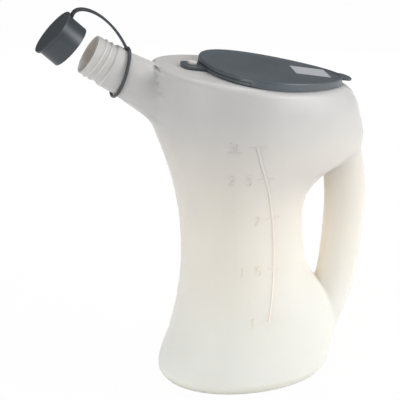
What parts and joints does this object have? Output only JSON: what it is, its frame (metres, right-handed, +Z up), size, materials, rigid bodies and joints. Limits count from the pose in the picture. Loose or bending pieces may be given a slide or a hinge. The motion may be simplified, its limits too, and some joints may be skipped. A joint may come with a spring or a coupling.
{
  "type": "pouring jug",
  "caption": "Translucent blow-moulded jug with a looped grip, slanted spout, tethered filling lid and a screw cap on a strap.",
  "frame": {"origin": "on the floor under the middle of the body's base", "axes": "+Z up, spout towards -X, grip towards +X, volume scale on the -Y side"},
  "size_m": [0.3025, 0.1482, 0.3559],
  "materials": {
    "natural_plastic": "translucent natural polyethylene, satin",
    "lid_plastic": "satin blue-grey plastic",
    "cap_plastic": "satin dark grey plastic",
    "label": "blank paper label, matte"
  },
  "bodies": {
    "jug": {"jug": "natural_plastic", "lid_tether": "lid_plastic"},
    "lid": {"lid": "lid_plastic", "label": "label"},
    "ring": {"neck_ring": "cap_plastic"},
    "cap": {"spout_cap": "cap_plastic", "cap_strap": "cap_plastic"}
  },
  "joints": [
    {"name": "lid_hinge", "type": "hinge", "parent": "jug", "child": "lid", "pos_m": [-0.03805, 0, 0.30248], "axis": [0, -1, 0], "range_deg": [0, 115], "deforming": ["lid_tether"]},
    {"name": "ring_turn", "type": "hinge", "parent": "jug", "child": "ring", "pos_m": [-0.11121, 0, 0.29876], "axis": [-0.8499, 0, 0.527], "continuous": true},
    {"name": "cap_swing", "type": "hinge", "parent": "ring", "child": "cap", "pos_m": [-0.10676, 0, 0.32178], "axis": [0, 1, 0], "range_deg": [-25, 60], "stiffness_Nm_per_rad": 0.05, "springref_deg": 3.5, "deforming": ["cap_strap"]}
  ]
}
